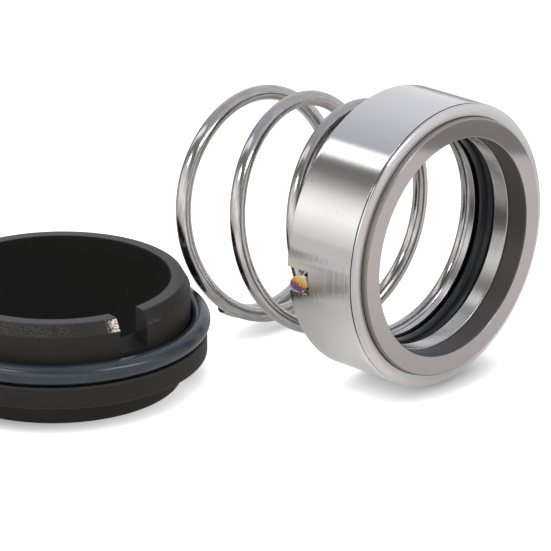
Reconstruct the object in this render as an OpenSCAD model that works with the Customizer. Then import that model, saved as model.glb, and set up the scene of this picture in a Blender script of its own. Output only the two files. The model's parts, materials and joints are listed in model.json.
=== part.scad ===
// Mechanical shaft seal as a set of two halves, laid out on a table.
// The rotating half lies on its side with its axis along X and its lapped face toward +X.
// The stationary seat lies flat beside it, lapped face down, with its bore axis on Z.
// Distances along the rotating half are taken from the parting line of its front rim.

/* [Shaft] */
// Diameter of the shaft that the rotating half slides on
shaft_d = 50; // [40:0.5:65]
// Clearance all round between the shaft and the steel web
web_gap = 0.25; // [0.2:0.05:0.4]

/* [Rotating face] */
// Thickness of the face ring
face_thick = 5.2; // [4:0.1:6.5]
// How far the lapped face stands out of the rim
face_stand = 1.3; // [0.5:0.1:2.5]
// Radial clearance between the shaft and the face ring
face_gap = 0.7; // [0.4:0.05:1.2]
// Chamfer on the outer edge of the lapped face
face_chamfer = 0.3; // [0.1:0.05:0.6]

/* [Carrier] */
// Wall of the carrier around the chamber of the O-ring
carrier_wall = 3.05; // [2.6:0.05:4]
// How far the rear edge of the carrier reaches past the first turn of the spring
rear_lip = 0.75; // [0.2:0.05:3]
// Wall of the carrier in front, around the face ring
rim_wall = 3.05; // [2.5:0.05:4]
// Height of the rounded front rim
rim_h = 0.85; // [0.5:0.05:1.5]
// Depth of the fine step at the parting line
rim_step = 0.2; // [0.1:0.05:0.4]
// Part of the rim's width that the rounding takes
rim_round = 0.8; // [0.3:0.05:0.9]
// Thickness of the steel web behind the face ring
web_thick = 4; // [3:0.1:6]
// Small chamfer on the carrier edges
edge_chamfer = 0.35; // [0.2:0.05:0.6]

/* [Drive notch] */
// Width of the notch in the rear edge of the carrier
notch_w = 6; // [4.5:0.1:8]
// Room in the notch between its floor and the tang
notch_room = 1.95; // [0.5:0.05:3]
// Place of the notch around the axis, from +Y toward +Z
notch_angle = 185.8; // [180:0.2:190]

/* [Shaft O-ring] */
// Thickness of the shaft O-ring
shaft_ring_d = 5.5; // [5:0.1:6]
// Axial play of the shaft O-ring in its chamber
shaft_ring_play = 0.6; // [0.2:0.1:1.2]

/* [Thrust ring] */
// Thickness of the thrust ring
thrust_thick = 1.5; // [1:0.1:2]
// Clearance of the thrust ring in the carrier and over the shaft
thrust_gap = 0.25; // [0.1:0.05:0.4]

/* [Coil spring] */
// Wire diameter
wire_d = 3.6; // [3:0.1:4]
// Clearance between the shaft and the inside of the coil at the thrust ring
coil_gap = 0.2; // [0.05:0.05:0.5]
// How much the coil narrows toward its free end, which grips the shaft
end_grip = 0.6; // [0:0.05:0.8]
// Free length of the spring behind the thrust ring
spring_len = 46; // [40:0.2:52]
// Part of a turn at the free end that lies flat
rear_flat = 0.81; // [0.7:0.01:0.9]
// Part of a turn at the thrust ring that lies flat
front_flat = 0.67; // [0.5:0.01:0.8]
// Whole turns, less the angle between the cut tip and the tang
whole_turns = 4; // [3:1:5]
// Place of the cut tip around the axis
tip_angle = 235; // [220:1:260]
// Place of the tang around the axis, a little below the middle of the notch
tang_shift = 1.4; // [0:0.1:1.6]
// Bend radius of the tang at the middle of the wire
tang_bend = 3.6; // [3:0.1:4]
// How far the cut end of the tang stays below the outside of the carrier
tang_inset = 0.35; // [0.1:0.05:0.8]
// How far the end of the tang leans toward the front of the notch
tang_lean = 0.8; // [0:0.1:1]
// Height of the sagging free end above the table
free_end_lift = 1.2; // [0.5:0.1:2]

/* [Seat] */
// Clearance all round between the shaft and the bore of the seat
seat_gap = 1.2; // [0.5:0.05:2]
// Wall of the tail that goes into the housing
tail_wall = 4.55; // [3:0.05:6]
// Overall height of the seat
seat_h = 24.5; // [22:0.1:30]
// Height of the lead-in chamfer at the top of the tail
lead_h = 2.8; // [1.5:0.1:4]
// Width of the lead-in chamfer
lead_w = 1.6; // [0.8:0.1:2.2]
// How far the flange stands out from the tail
flange_w = 3.85; // [2:0.05:6]
// Thickness of the flange
flange_h = 5.2; // [4:0.1:7]
// Width of the lapped nose around the bore
nose_w = 2.5; // [1.5:0.05:5]
// Height of the lapped nose below the flange
nose_h = 5.9; // [3:0.1:7]
// Width of the anti-rotation slot in the tail
slot_w = 7.4; // [5:0.1:12]
// Depth of the slot from the top of the tail, at the bore
slot_depth = 6.4; // [4:0.1:6.6]
// How much deeper the slot is at the outside of the tail
slot_fall = 1.9; // [0:0.1:1.9]
// Place of the slot around the seat, from +X toward +Y
slot_angle = -10; // [-30:1:30]
// Chamfer on the edges of the flange
flange_chamfer = 0.4; // [0.2:0.05:0.8]

/* [Seat O-ring] */
// Thickness of the seat O-ring, which grips the tail
seat_ring_d = 4.6; // [4:0.1:5]
// Gap between the flange and the seat O-ring
seat_ring_gap = 0.25; // [0:0.05:1]

/* [Layout] */
// Distance along X from the seat axis to the free end of the spring
free_end_x = 7.75; // [6:0.05:40]
// How far the carrier and the tail of the seat overlap along Y
side_overlap = 6; // [-20:0.1:7]

/* [Hidden] */

$fn = 96;
// Steps in the quarter arc of the rim
arc_steps = 6;
// How far a cut runs past the wall that it opens
cut_over = 2;

shaft_r = shaft_d / 2;
web_r = shaft_r + web_gap;
chamber_r = shaft_r + shaft_ring_d;
carrier_r = chamber_r + carrier_wall;
face_r = carrier_r - rim_wall;
face_bore_r = shaft_r + face_gap;

// Places along the axis of the rotating half, positive toward the lapped face
rim_front = rim_h;
face_front = rim_front + face_stand;
web_front = face_front - face_thick;
web_rear = web_front - web_thick;
thrust_front = web_rear - shaft_ring_d - shaft_ring_play;
thrust_rear = thrust_front - thrust_thick;
shaft_ring_mid = thrust_front + shaft_ring_d / 2;
carrier_rear = thrust_rear - wire_d - rear_lip;
notch_floor = thrust_rear + notch_room;

// Helix of the spring
wire_r = wire_d / 2;
coil_r = shaft_r + coil_gap + wire_r;
front_mid = thrust_rear - wire_r;
rear_mid = thrust_rear - spring_len + wire_r;
tang_angle = notch_angle + tang_shift;
bend_span = asin(tang_bend / (coil_r + tang_bend));
coil_end_angle = tang_angle - bend_span;
coil_turns = whole_turns - (tip_angle - coil_end_angle) / 360;
active_turns = coil_turns - rear_flat - front_flat;
turn_ease = 0.03;
rings_per_turn = 44;
wire_sides = 16;
bend_steps = 6;
tang_end_r = carrier_r - tang_inset;

// Sag of the free end: the axis bends over a short length and then runs straight
sag_bend = 2;
sag_start = front_mid - wire_r;
sag_arm = sag_start - sag_bend - rear_mid;
free_outer_r = coil_r - end_grip + wire_r;
sag_hyp = sqrt(sag_arm * sag_arm + free_outer_r * free_outer_r);
sag_reach = min(1, (carrier_r - free_end_lift) / sag_hyp);
sag_angle = max(0, atan2(sag_arm, free_outer_r) - acos(sag_reach));

// Radii and heights on the seat
seat_bore_r = shaft_r + seat_gap;
nose_r = seat_bore_r + nose_w;
tail_r = seat_bore_r + tail_wall;
flange_r = tail_r + flange_w;
flange_top = nose_h + flange_h;
slot_floor = seat_h - slot_depth;
seat_ring_mid = flange_top + seat_ring_gap + seat_ring_d / 2;

// Place of the rotating half
head_x = free_end_x + spring_len - thrust_rear;
head_y = tail_r + carrier_r - side_overlap;

module on_head() {
    translate([head_x, head_y, carrier_r]) children();
}

module turned_on_head(outline) {
    on_head() rotate([0, 90, 0]) rotate_extrude() polygon(outline);
}

// Quarter arc from the side of the rim over to its front face
function rim_arc() = [
    for (i = [0 : arc_steps])
        let (a = 90 * i / arc_steps, side_r = carrier_r - rim_step)
        [side_r - (rim_wall - rim_step) * rim_round * (1 - cos(a)), rim_h * sin(a)]
];

function carrier_outline() = concat(
    [
        [web_r, web_front],
        [web_r, web_rear],
        [chamber_r, web_rear],
        [chamber_r, carrier_rear + edge_chamfer],
        [chamber_r + edge_chamfer, carrier_rear],
        [carrier_r - edge_chamfer, carrier_rear],
        [carrier_r, carrier_rear + edge_chamfer],
        [carrier_r, 0]
    ],
    rim_arc(),
    [
        [face_r, rim_front],
        [face_r, web_front]
    ]
);

module drive_notch() {
    notch_depth = notch_floor - carrier_rear;
    on_head()
        rotate([notch_angle, 0, 0])
            translate([carrier_rear - cut_over, chamber_r - cut_over, -notch_w / 2])
                cube([notch_depth + cut_over, carrier_wall + 2 * cut_over, notch_w]);
}

module carrier() {
    color("silver")
        difference() {
            turned_on_head(carrier_outline());
            drive_notch();
        }
}

module face_ring() {
    color("rosybrown")
        turned_on_head([
            [face_bore_r, web_front],
            [face_r, web_front],
            [face_r, face_front - face_chamfer],
            [face_r - face_chamfer, face_front],
            [face_bore_r + face_chamfer, face_front],
            [face_bore_r, face_front - face_chamfer]
        ]);
}

module shaft_o_ring() {
    color("darkslategray")
        on_head()
            rotate([0, 90, 0])
                rotate_extrude()
                    translate([shaft_r + shaft_ring_d / 2, shaft_ring_mid])
                        circle(d = shaft_ring_d, $fn = 48);
}

module thrust_ring() {
    color("lightgray")
        turned_on_head([
            [shaft_r + thrust_gap, thrust_rear],
            [chamber_r - thrust_gap, thrust_rear],
            [chamber_r - thrust_gap, thrust_front],
            [shaft_r + thrust_gap, thrust_front]
        ]);
}

// Clamp from 0 to 1 with a short soft bend of half width e at each end
function ease(x, e) =
    x <= -e ? 0 :
    x < e ? pow(x + e, 2) / (4 * e) :
    x <= 1 - e ? x :
    x < 1 + e ? 1 - pow(1 + e - x, 2) / (4 * e) : 1;

function coil_place(t) =
    rear_mid + (front_mid - rear_mid) * ease((t - rear_flat) / active_turns, turn_ease);

function radius_at(w) = coil_r - end_grip * (front_mid - w) / (front_mid - rear_mid);

// Slope of the sagging axis as a share of the full sag, and the drop that it gives
function sag_share(w) = min(1, max(0, (sag_start - w) / (2 * sag_bend)));

function sag_drop(w) =
    let (s = max(0, sag_start - w))
    tan(sag_angle) * (s < 2 * sag_bend ? s * s / (4 * sag_bend) : s - sag_bend);

// A point of the wire's middle line from its place along the axis, radius and angle
function wire_point(w, r, a) =
    let (tilt = sag_angle * sag_share(w))
    [
        w - r * sin(a) * sin(tilt),
        r * cos(a),
        r * sin(a) * cos(tilt) - sag_drop(w)
    ];

function coil_path() =
    let (steps = ceil(coil_turns * rings_per_turn))
    [
        for (i = [0 : steps])
            let (t = coil_turns * i / steps)
            wire_point(coil_place(t), radius_at(coil_place(t)), tip_angle + 360 * t)
    ];

// The tang leaves the coil in an outward bend and runs out along a radius
function tang_path() = concat(
    [
        for (i = [1 : bend_steps])
            let (
                a = coil_end_angle + 180 - (90 - bend_span) * i / bend_steps,
                y = (coil_r + tang_bend) * cos(coil_end_angle) + tang_bend * cos(a),
                z = (coil_r + tang_bend) * sin(coil_end_angle) + tang_bend * sin(a)
            )
            [front_mid, y, z]
    ],
    [[front_mid + tang_lean, tang_end_r * cos(tang_angle), tang_end_r * sin(tang_angle)]]
);

function unit(v) = v / norm(v);

function wire_ring(path, i) =
    let (
        before = path[max(i - 1, 0)],
        after = path[min(i + 1, len(path) - 1)],
        along = unit(after - before),
        side = unit(cross(along, [1, 0, 0])),
        up = cross(side, along)
    )
    [
        for (k = [0 : wire_sides - 1])
            let (a = 360 * k / wire_sides)
            path[i] + wire_r * (cos(a) * side + sin(a) * up)
    ];

module swept_wire(path) {
    last = len(path) - 1;
    points = [for (i = [0 : last]) each wire_ring(path, i)];
    sides = [
        for (i = [0 : last - 1])
            for (k = [0 : wire_sides - 1])
                let (n = (k + 1) % wire_sides, a = i * wire_sides, b = a + wire_sides)
                each [[a + k, a + n, b + n], [a + k, b + n, b + k]]
    ];
    start_cap = [[for (k = [wire_sides - 1 : -1 : 0]) k]];
    end_cap = [[for (k = [0 : wire_sides - 1]) last * wire_sides + k]];
    polyhedron(points = points, faces = concat(sides, start_cap, end_cap), convexity = 10);
}

module coil_spring() {
    color("gainsboro")
        on_head() swept_wire(concat(coil_path(), tang_path()));
}

function seat_outline() = [
    [seat_bore_r, 0],
    [nose_r, 0],
    [nose_r, nose_h],
    [flange_r - flange_chamfer, nose_h],
    [flange_r, nose_h + flange_chamfer],
    [flange_r, flange_top - flange_chamfer],
    [flange_r - flange_chamfer, flange_top],
    [tail_r, flange_top],
    [tail_r, seat_h - lead_h],
    [tail_r - lead_w, seat_h],
    [seat_bore_r, seat_h]
];

module tail_slot() {
    fall = slot_fall * cut_over / tail_wall;
    rotate([0, 0, slot_angle])
        translate([0, slot_w / 2, 0])
            rotate([90, 0, 0])
                linear_extrude(slot_w)
                    polygon([
                        [seat_bore_r - cut_over, slot_floor + fall],
                        [tail_r + cut_over, slot_floor - slot_fall - fall],
                        [tail_r + cut_over, seat_h + cut_over],
                        [seat_bore_r - cut_over, seat_h + cut_over]
                    ]);
}

module seat() {
    color("darkslategray")
        difference() {
            rotate_extrude() polygon(seat_outline());
            tail_slot();
        }
}

module seat_o_ring() {
    color("slategray")
        rotate_extrude()
            translate([tail_r + seat_ring_d / 2, seat_ring_mid])
                circle(d = seat_ring_d, $fn = 48);
}

carrier();
face_ring();
shaft_o_ring();
thrust_ring();
coil_spring();
seat();
seat_o_ring();
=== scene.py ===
"""Dresses the packed mechanical seal set for a studio picture.

Each solid of the pack is replaced by a finished piece of the same size and place. The table,
the light and the camera are made last.
"""

import json
from math import acos, atan2, ceil, cos, hypot, pi, radians, sin, sqrt, tan

import bmesh
import bpy
from bpy.props import FloatProperty, FloatVectorProperty, IntProperty, PointerProperty
from bpy.types import Operator, Panel, PropertyGroup
from mathutils import Matrix, Vector

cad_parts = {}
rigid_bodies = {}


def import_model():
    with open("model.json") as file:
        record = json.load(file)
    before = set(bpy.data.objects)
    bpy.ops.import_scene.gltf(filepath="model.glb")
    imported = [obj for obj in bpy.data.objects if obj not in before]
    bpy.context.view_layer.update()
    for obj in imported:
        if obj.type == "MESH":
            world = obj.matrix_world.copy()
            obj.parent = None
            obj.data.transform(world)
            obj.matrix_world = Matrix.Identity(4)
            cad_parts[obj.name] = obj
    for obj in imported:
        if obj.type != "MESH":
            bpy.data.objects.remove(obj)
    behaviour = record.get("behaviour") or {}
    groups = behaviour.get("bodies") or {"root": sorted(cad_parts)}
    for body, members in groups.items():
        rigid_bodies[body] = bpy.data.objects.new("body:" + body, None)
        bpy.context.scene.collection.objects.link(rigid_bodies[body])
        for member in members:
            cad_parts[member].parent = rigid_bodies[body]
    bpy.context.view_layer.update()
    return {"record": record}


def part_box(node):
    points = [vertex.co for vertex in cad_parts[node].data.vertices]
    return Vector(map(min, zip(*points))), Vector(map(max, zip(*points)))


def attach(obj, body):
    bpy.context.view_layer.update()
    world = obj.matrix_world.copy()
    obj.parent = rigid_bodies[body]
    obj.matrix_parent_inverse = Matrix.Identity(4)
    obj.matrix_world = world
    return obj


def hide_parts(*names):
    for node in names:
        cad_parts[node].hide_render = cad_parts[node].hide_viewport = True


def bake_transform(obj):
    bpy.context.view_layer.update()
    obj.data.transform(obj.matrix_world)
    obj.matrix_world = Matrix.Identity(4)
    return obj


bl_info = {
    "name": "Mechanical seal set",
    "version": (1, 0, 0),
    "blender": (4, 5, 0),
    "location": "View3D > Sidebar > Seal",
    "description": "Models and finishes a spring-loaded shaft seal and its stationary seat",
    "category": "Object",
}

# Blender's own first objects go before the pack's solids come in.
for leftover in list(bpy.data.objects):
    bpy.data.objects.remove(leftover)
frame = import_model()


def mount_radius(name):
    """Radius of one of the record's round mounts, in metres."""
    mount = next(each for each in frame["record"]["mounts"] if each["name"] == name)
    return mount["dims"]["r_mm"] / 1000


# Lowest and highest corners of the pack's solids, in metres
CARRIER_LOW, CARRIER_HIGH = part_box("carrier")
FACE_LOW, FACE_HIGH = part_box("face_ring")
THRUST_LOW, THRUST_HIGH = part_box("thrust_ring")
SHAFT_RING_LOW, SHAFT_RING_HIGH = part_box("shaft_o_ring")
SEAT_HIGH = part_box("seat")[1]
SEAT_RING_LOW, SEAT_RING_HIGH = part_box("seat_o_ring")

# The axis that the carrier, face ring, thrust ring and spring share runs along X.
HEAD_Y = (CARRIER_LOW.y + CARRIER_HIGH.y) / 2
HEAD_Z = (CARRIER_LOW.z + CARRIER_HIGH.z) / 2
HEAD_CENTRE = (CARRIER_HIGH.x, HEAD_Y, HEAD_Z)
FACE_CENTRE = (FACE_HIGH.x, HEAD_Y, HEAD_Z)
HEAD_TURN = (0.0, pi / 2, 0.0)
UNMOVED = (0.0, 0.0, 0.0)

CARRIER_R = (CARRIER_HIGH.y - CARRIER_LOW.y) / 2
FACE_R = (FACE_HIGH.y - FACE_LOW.y) / 2
CHAMBER_R = (SHAFT_RING_HIGH.y - SHAFT_RING_LOW.y) / 2
WEB_R = mount_radius("shaft_bore")
SEAT_BORE_R = mount_radius("seat_bore")
FLANGE_R = SEAT_HIGH.x
SEAT_H = SEAT_HIGH.z

# Faces round a turned piece, points along one turn of the coil, its bend and round its wire
SEGMENTS = 320
COIL_POINTS = 110
BEND_POINTS = 24
WIRE_SIDES = 36
# How far a cutter stands past what it cuts
OVER = 0.002

# The camera that the outlines in the photograph were fitted with. Its sensor and lens are in
# millimetres.
CAMERA_PLACE = (0.6199, -0.5963, 0.36345)
CAMERA_TURN = (radians(68.47), 0.0, radians(42.78))
SENSOR_WIDTH = 36.0
LENS_LENGTH = 261.34
LENS_SHIFT = 0.0034
CLIP_RANGE = (0.05, 20.0)

# The table's half width, and how far its top lies below the seal
TABLE_REACH = 4.0
TABLE_BELOW = 0.00002
# How far the contact shadows spread and how deep they are
SHADOW_REACH = 0.0075
SHADOW_DEPTH = 0.9
# The white that the camera sees, and its share beside what the lamps light
CLEAR_WHITE = 1.45
WHITE_SHARE = 0.85
# The white sheet that polished metal mirrors: toward SHEET_EDGE it ends at SHEET_REACH in a
# dark strip
SHEET_EDGE = (0.569, 0.823)
SHEET_REACH = 0.2458
STRIP_WIDTH = 0.031
STRIP_DARK = 0.66
# The sheet's tone and strength, and its share beside the table's own look
SHEET_WHITE = (1.0, 0.985, 0.985)
SHEET_LIGHT = 1.25
SHEET_SHARE = 0.92

BLACK = (0.0, 0.0, 0.0)
WHITE = (1.0, 1.0, 1.0)

# Lamps: name, place, target, direction of the longer side, size and radiance
SOFTBOXES = (
    ("strip_over_set", (-0.6, -0.235, 0.985), (0.06, 0.058, 0.034), (1, 0, 0), (1.6, 0.23), 1.5),
    ("key_in_front", (-0.05, -0.67, 0.79), (0, -0.03, 0.015), (1, 0, 0), (0.36, 0.14), 7.0),
    ("soft_fill", (0.045, 0.0175, 0.0269), (0.045, 0.1149, 0.0495), (1, 0, 0), (0.044, 0.0198), 1.0),
    ("key_at_right", (0.82, 0.13, 0.58), (0.03, -0.01, 0.015), (0.2, 0.85, -0.5), (0.55, 0.1), 10.0),
)
# Tones across the soft fill, from one long edge to the other
FILL_TONES = (
    (0.0, BLACK),
    (0.16, (0.14, 0.13, 0.11)),
    (0.33, (0.32, 0.30, 0.26)),
    (0.49, (0.57, 0.54, 0.50)),
    (0.66, (0.76, 0.74, 0.70)),
    (0.80, (0.46, 0.45, 0.43)),
    (1.0, BLACK),
)
# The world's strength, and its light along the axis from in front and from behind
BAND_STRENGTH = 1.6
EVEN_LIGHT = (0.56, 0.56, 0.56)
DIM_END = (0.2, 0.2, 0.2)


def band(degrees_up, level, coolness=0.0):
    """One stop of the world's light round the head's axis, counted from +Y toward +Z."""
    level = level / BAND_STRENGTH
    return degrees_up / 360 + 0.5, (level * (1 - coolness / 5), level, level * (1 + coolness))


LIGHT_BANDS = (
    band(-180, 1.05),
    band(-150, 0.90),
    band(-20, 1.15),
    band(2, 1.05, 0.05),
    band(24, 1.00, 0.075),
    band(48, 0.98, 0.09),
    band(64, 0.90, 0.11),
    band(80, 0.78, 0.125),
    band(94, 0.68, 0.15),
    band(112, 0.44, 0.05),
    band(120, 0.22),
    band(128, 0.30),
    band(136, 0.62),
    band(144, 1.14),
    band(152, 1.50),
    band(160, 1.57),
    band(168, 1.30),
    band(177, 1.00),
)


def length(name, text, default, low=0.0, high=0.2):
    """A size in metres that the panel shows as a length."""
    return FloatProperty(
        name=name, description=text, default=default, min=low, max=high, unit="LENGTH", precision=5
    )


def turn(name, text, default):
    """An angle that the panel shows in degrees."""
    return FloatProperty(
        name=name, description=text, default=radians(default), subtype="ANGLE", unit="ROTATION"
    )


def part(name, text, default):
    """A share from 0 to 1."""
    return FloatProperty(
        name=name, description=text, default=default, min=0.0, max=1.0, subtype="FACTOR"
    )


def tint(name, text, default):
    """A colour in linear light."""
    return FloatVectorProperty(
        name=name, description=text, default=default, size=3, min=0, max=1, subtype="COLOR"
    )


class CarrierSizes(PropertyGroup):
    """Sizes of the turned carrier and the face ring pressed into it."""

    rim_h: length("Rim height", "Height of the rounded front rim", 0.00085)
    rim_step: length("Rim step", "Step from the turned side in to the rim", 0.0002)
    rim_round: part("Rim rounding", "Part of the rim's width that the rounding takes", 0.8)
    groove: length("Parting groove", "Depth of the fine groove behind the rim", 0.00016)
    web_thick: length("Web", "Thickness of the web behind the face ring", 0.004)
    web_round: length("Web rounding", "Rounding of the web's front edge", 0.00022)
    edge_chamfer: length("Edge chamfer", "Chamfer on the carrier's edges", 0.00035)
    edge_break: length("Edge break", "Rounding of the small edges", 0.00009)
    notch_w: length("Notch width", "Width of the drive notch", 0.006)
    notch_depth: length("Notch depth", "Depth of the drive notch from the rear edge", 0.0063)
    notch_angle: turn("Notch place", "Place of the notch around the axis, from +Y toward +Z", 185.8)
    face_gap: length("Face clearance", "Radial clearance between shaft and face ring", 0.0007)
    face_chamfer: length("Face chamfer", "Chamfer on the edges of the lapped face", 0.0003)
    joint_gap: length("Joint line", "Width of the fine line between rim and face ring", 0.0001)


class SpringSizes(PropertyGroup):
    """Sizes of the coil spring, as the pack's own solid has them."""

    shaft_d: length("Shaft", "Diameter of the shaft", 0.05)
    wire_d: length("Wire", "Diameter of the wire", 0.0036)
    coil_gap: length("Coil clearance", "Clearance between the shaft and the coil", 0.0002)
    end_grip: length("End grip", "How much the coil narrows toward its free end", 0.0006)
    spring_len: length("Free length", "Length of the spring behind the thrust ring", 0.046)
    rear_flat: part("Rear flat", "Part of a turn that lies flat at the free end", 0.81)
    front_flat: part("Front flat", "Part of a turn that lies flat on the thrust ring", 0.67)
    whole_turns: IntProperty(
        name="Turns",
        description="Whole turns, less the angle from tip to tang",
        default=4,
        min=2,
        max=8,
    )
    tip_angle: turn("Cut tip", "Place of the cut tip around the axis", 235)
    tang_shift: turn("Tang place", "Place of the tang past the middle of the notch", 1.4)
    tang_bend: length("Tang bend", "Bend radius of the tang at the middle of the wire", 0.0036)
    tang_inset: length("Tang inset", "How far the tang's end stays below the carrier", 0.00035)
    tang_lean: length("Tang lean", "How far the tang's end leans toward the notch's front", 0.0008)
    tang_flare: part("Tang flare", "How much the sheared end of the tang is spread", 0.2)
    tang_slant: turn("Tang slant", "Slant of the sheared end", 20)
    free_end_lift: length("Lift", "Height of the sagging free end above the table", 0.0012)
    sag_bend: length("Sag bend", "Half the length over which the sag begins", 0.002)
    turn_ease: part("Lead-in", "Part of the open turns that leads into a flat one", 0.03)


class SeatSizes(PropertyGroup):
    """Sizes of the stationary seat that its box doesn't give."""

    tail_r: length("Tail radius", "Radius of the tail that goes into the housing", 0.03075)
    lead_h: length("Lead-in height", "Height of the lead-in chamfer", 0.0028)
    lead_w: length("Lead-in width", "Width of the lead-in chamfer", 0.0016)
    flange_h: length("Flange height", "Thickness of the flange", 0.0052)
    flange_chamfer: length("Flange chamfer", "Chamfer on the flange's edges", 0.0004)
    nose_w: length("Nose width", "Width of the lapped nose around the bore", 0.0025)
    nose_h: length("Nose height", "Height of the nose below the flange", 0.0059)
    slot_w: length("Slot width", "Width of the anti-rotation slot", 0.0074)
    slot_depth: length("Slot depth", "Depth of the slot at the bore", 0.0064)
    slot_fall: length("Slot fall", "How much deeper the slot is at the outside", 0.0019)
    slot_angle: turn("Slot place", "Place of the slot around the seat, from +X toward +Y", -10)
    edge_break: length("Edge break", "Rounding of the ground edges", 0.00016)


class SealColours(PropertyGroup):
    """Colours of the finishes, in linear light."""

    steel: tint("Carrier steel", "Fine-turned stainless steel", (0.60, 0.59, 0.58))
    wire: tint("Spring wire", "Drawn stainless wire", (0.55, 0.53, 0.515))
    thrust: tint("Thrust ring", "Plain stainless steel", (0.50, 0.49, 0.48))
    lapped: tint("Lapped face", "Lapped mauve-grey carbide", (0.44, 0.405, 0.395))
    carbide: tint("Face ring body", "Unlapped sides of the face ring", (0.060, 0.050, 0.048))
    shaft_ring: tint("Shaft O-ring", "Blue-black rubber", (0.0025, 0.0035, 0.005))
    seat: tint("Seat", "Dull charcoal-brown carbide", (0.017, 0.0155, 0.013))
    seat_top: tint("Seat top", "Ground top of the tail", (0.045, 0.043, 0.048))
    seat_ring: tint("Seat O-ring", "Slate-blue rubber", (0.019, 0.030, 0.040))
    floor: tint("Table", "White table", (0.90, 0.90, 0.90))


def maths(operation, reverse=False):
    """A method of Number that adds one Math node."""

    def method(number, *others):
        values = (*others, number) if reverse else (number, *others)
        return number.maker.node("ShaderNodeMath", {"operation": operation}, values)

    return method


class Number:
    """The output of a node, used as a number in Python expressions, which add Math nodes."""

    def __init__(self, maker, socket):
        self.maker = maker
        self.socket = socket

    __add__ = maths("ADD")
    __radd__ = maths("ADD", reverse=True)
    __sub__ = maths("SUBTRACT")
    __rsub__ = maths("SUBTRACT", reverse=True)
    __mul__ = maths("MULTIPLY")
    __rmul__ = maths("MULTIPLY", reverse=True)
    __truediv__ = maths("DIVIDE")
    __rtruediv__ = maths("DIVIDE", reverse=True)
    __pow__ = maths("POWER")
    # The smaller and the larger of two numbers, and a number without its sign
    least = maths("MINIMUM")
    most = maths("MAXIMUM")
    size = maths("ABSOLUTE")
    root = maths("SQRT")
    sine = maths("SINE")
    cosine = maths("COSINE")
    tangent = maths("TANGENT")
    arc_sine = maths("ARCSINE")
    # 1 where the number is above another, and 0 elsewhere
    over = maths("GREATER_THAN")

    def __neg__(self):
        return self * -1.0

    def rise(self, low, high):
        """0 below low, 1 above high and smooth between them; low may be the larger."""
        return self.maker.node(
            "ShaderNodeMapRange",
            {"interpolation_type": "SMOOTHSTEP"},
            {"Value": self, "From Min": low, "From Max": high},
        )

    def near(self, place, width, soft):
        """1 within width of a place, and 0 from soft further out."""
        return (self - place).size().rise(width + soft, width)


class NodeMaker:
    """Adds nodes to one tree."""

    def __init__(self, tree):
        self.tree = tree

    def node(self, kind, settings=None, inputs=None, output=0):
        """One node with its settings, then its sockets by name or place, as values or links."""
        made = self.tree.nodes.new(kind)
        for name, value in (settings or {}).items():
            if name == "stops":
                self.set_stops(made.color_ramp, value)
            else:
                setattr(made, name, value)
        if not isinstance(inputs, dict):
            inputs = dict(enumerate(inputs or ()))
        for key, value in inputs.items():
            if isinstance(value, Number):
                self.tree.links.new(value.socket, made.inputs[key])
            else:
                made.inputs[key].default_value = value
        return Number(self, made.outputs[output]) if made.outputs else None

    @staticmethod
    def set_stops(ramp, stops):
        """Gives a colour ramp its stops, each a place and a colour."""
        while len(ramp.elements) < len(stops):
            ramp.elements.new(1.0)
        for element, (place, colour) in zip(ramp.elements, stops):
            element.position = place
            element.color = (*colour, 1.0)

    def other_output(self, number, output):
        """Another output of the node that made a number."""
        return Number(self, number.socket.node.outputs[output])

    def parts(self, vector):
        """The three numbers of a vector."""
        first = self.node("ShaderNodeSeparateXYZ", inputs=[vector])
        return first, self.other_output(first, 1), self.other_output(first, 2)

    def vector(self, x, y, z):
        """A vector of three numbers."""
        return self.node("ShaderNodeCombineXYZ", inputs=[x, y, z])

    def blend(self, share, first, second):
        """A colour between two, by share."""
        first, second = (c if isinstance(c, Number) else (*c, 1.0) for c in (first, second))
        return self.node("ShaderNodeMix", {"data_type": "RGBA"}, {0: share, 6: first, 7: second}, 2)

    def coated(self, colour, *coats):
        """A colour under coats, each a share and a colour."""
        for share, coat in coats:
            colour = self.blend(share, colour, coat)
        return colour

    def scaled(self, colour, share):
        """A colour times a number."""
        inputs = {0: colour, "Scale": share}
        return self.node("ShaderNodeVectorMath", {"operation": "SCALE"}, inputs)

    def noise(self, place, scale, detail=2.0, roughness=0.5):
        """Soft noise from 0 to 1, with a scale in waves per metre."""
        return self.node(
            "ShaderNodeTexNoise",
            inputs={"Vector": place, "Scale": scale, "Detail": detail, "Roughness": roughness},
        )

    def bump(self, height, strength, distance, normal=None):
        """A normal bent by a height, on top of another bump where one is given."""
        inputs = {"Height": height, "Strength": strength, "Distance": distance}
        if normal is not None:
            inputs["Normal"] = normal
        return self.node("ShaderNodeBump", inputs=inputs)


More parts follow.
